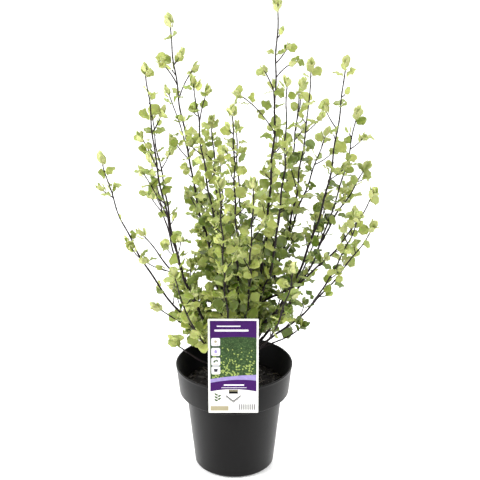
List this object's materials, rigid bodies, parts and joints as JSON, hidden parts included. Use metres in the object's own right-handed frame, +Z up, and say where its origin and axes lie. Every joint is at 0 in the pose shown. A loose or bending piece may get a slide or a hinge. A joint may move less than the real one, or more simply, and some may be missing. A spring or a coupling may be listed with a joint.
{
  "type": "potted pittosporum",
  "caption": "Young small-leaved evergreen shrub on slender dark stems, growing in a round tapered black nursery pot with a plain plant label hooked over the rim.",
  "frame": {"origin": "centre of the pot's flat underside", "axes": "+Z up through the crown, -Y towards the front, where the label hangs, +X to the right seen from the front"},
  "size_m": [0.4755, 0.3833, 0.8274],
  "materials": {
    "pot": "satin",
    "potting_mix": "matte",
    "label": "satin",
    "bark": "matte",
    "foliage": "satin"
  },
  "bodies": {
    "root": {"pot": "pot", "potting_mix": "potting_mix", "label": "label", "trunk": "bark", "bough_back": "bark", "bough_back_far_left": "bark", "bough_back_left": "bark", "bough_back_left_inner": "bark", "bough_back_low_right": "bark", "bough_back_middle": "bark", "bough_back_outer": "bark", "bough_back_right": "bark", "bough_far_left": "bark", "bough_front": "bark", "bough_front_left": "bark", "bough_front_left_inner": "bark", "bough_front_middle": "bark", "bough_front_outer": "bark", "bough_front_right": "bark", "bough_front_right_inner": "bark", "bough_leader": "bark", "bough_left": "bark", "bough_low_right": "bark", "bough_right": "bark", "bough_right_front": "bark", "bough_right_inner": "bark", "bough_tall_left": "bark", "bough_tall_right": "bark", "foliage_back": "foliage", "foliage_back_far_left": "foliage", "foliage_back_left": "foliage", "foliage_back_left_inner": "foliage", "foliage_back_low_right": "foliage", "foliage_back_middle": "foliage", "foliage_back_outer": "foliage", "foliage_back_right": "foliage", "foliage_far_left": "foliage", "foliage_front": "foliage", "foliage_front_left": "foliage", "foliage_front_left_inner": "foliage", "foliage_front_middle": "foliage", "foliage_front_outer": "foliage", "foliage_front_right": "foliage", "foliage_front_right_inner": "foliage", "foliage_leader": "foliage", "foliage_left": "foliage", "foliage_low_right": "foliage", "foliage_right": "foliage", "foliage_right_front": "foliage", "foliage_right_inner": "foliage", "foliage_spray_back": "foliage", "foliage_spray_back_left": "foliage", "foliage_spray_back_right": "foliage", "foliage_spray_front_left": "foliage", "foliage_spray_left": "foliage", "foliage_spray_right": "foliage", "foliage_tall_left": "foliage", "foliage_tall_right": "foliage"}
  },
  "joints": []
}
